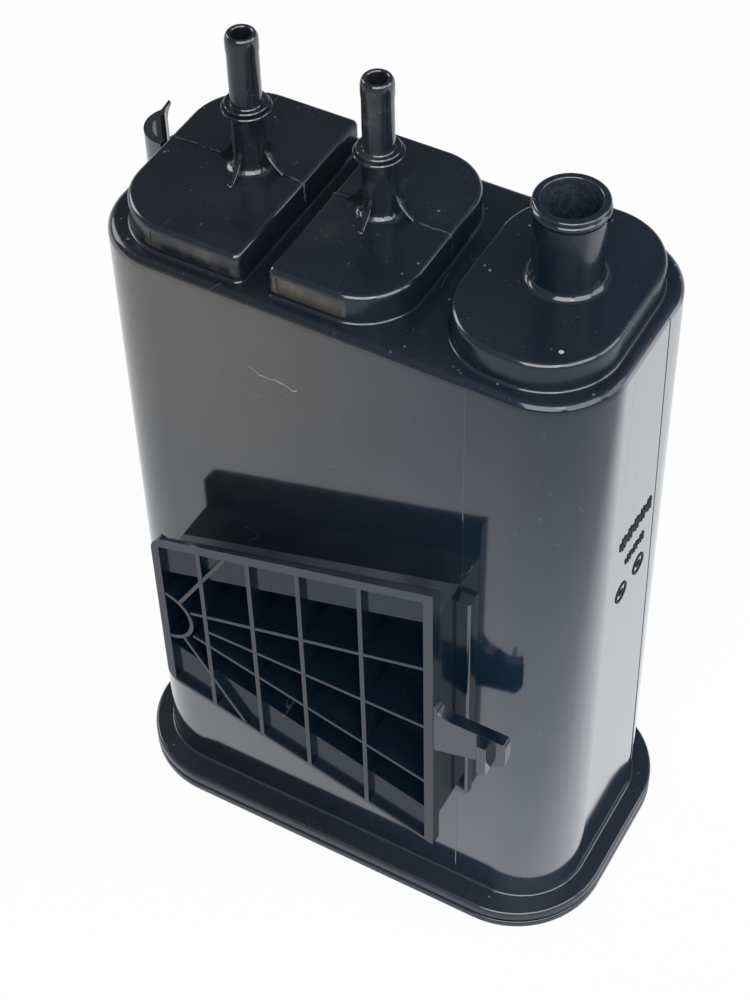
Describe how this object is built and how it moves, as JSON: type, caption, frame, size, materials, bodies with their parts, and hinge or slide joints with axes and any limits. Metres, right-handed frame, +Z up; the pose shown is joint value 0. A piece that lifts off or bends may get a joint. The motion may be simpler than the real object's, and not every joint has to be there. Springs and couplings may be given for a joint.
{
  "type": "charcoal canister",
  "caption": "Fuel vapour canister: glossy black moulded housing with hose ports on raised covers, a wedge slide bracket with a snap arm, carbon beds inside and a welded bottom cover.",
  "frame": {"origin": "centre of the housing's plan on the flat underside of the bottom cover", "axes": "+X along the long side towards the wide air port, -Y towards the slide bracket, +Z up towards the ports"},
  "size_m": [0.1544, 0.0976, 0.2605],
  "materials": {
    "housing_nylon": "glossy moulded black nylon with fine scratches and dust",
    "cover_nylon": "moulded black nylon, slightly duller",
    "carbon": "packed black granules",
    "filter_foam": "open cell foam",
    "felt": "grey felt",
    "plate_nylon": "natural nylon",
    "spring_steel": "drawn wire"
  },
  "bodies": {
    "root": {"housing": "housing_nylon", "bottom_cover": "cover_nylon", "carbon_bed_main": "carbon", "carbon_bed_vent": "carbon", "filter_pad_tank": "filter_foam", "filter_pad_purge": "filter_foam", "filter_pad_air": "filter_foam", "lower_pad_main": "felt", "lower_pad_vent": "felt", "pressure_plate_main": "plate_nylon", "pressure_plate_vent": "plate_nylon", "spring_main_1": "spring_steel", "spring_main_2": "spring_steel", "spring_main_3": "spring_steel", "spring_main_4": "spring_steel", "spring_vent_1": "spring_steel", "spring_vent_2": "spring_steel"}
  },
  "joints": []
}
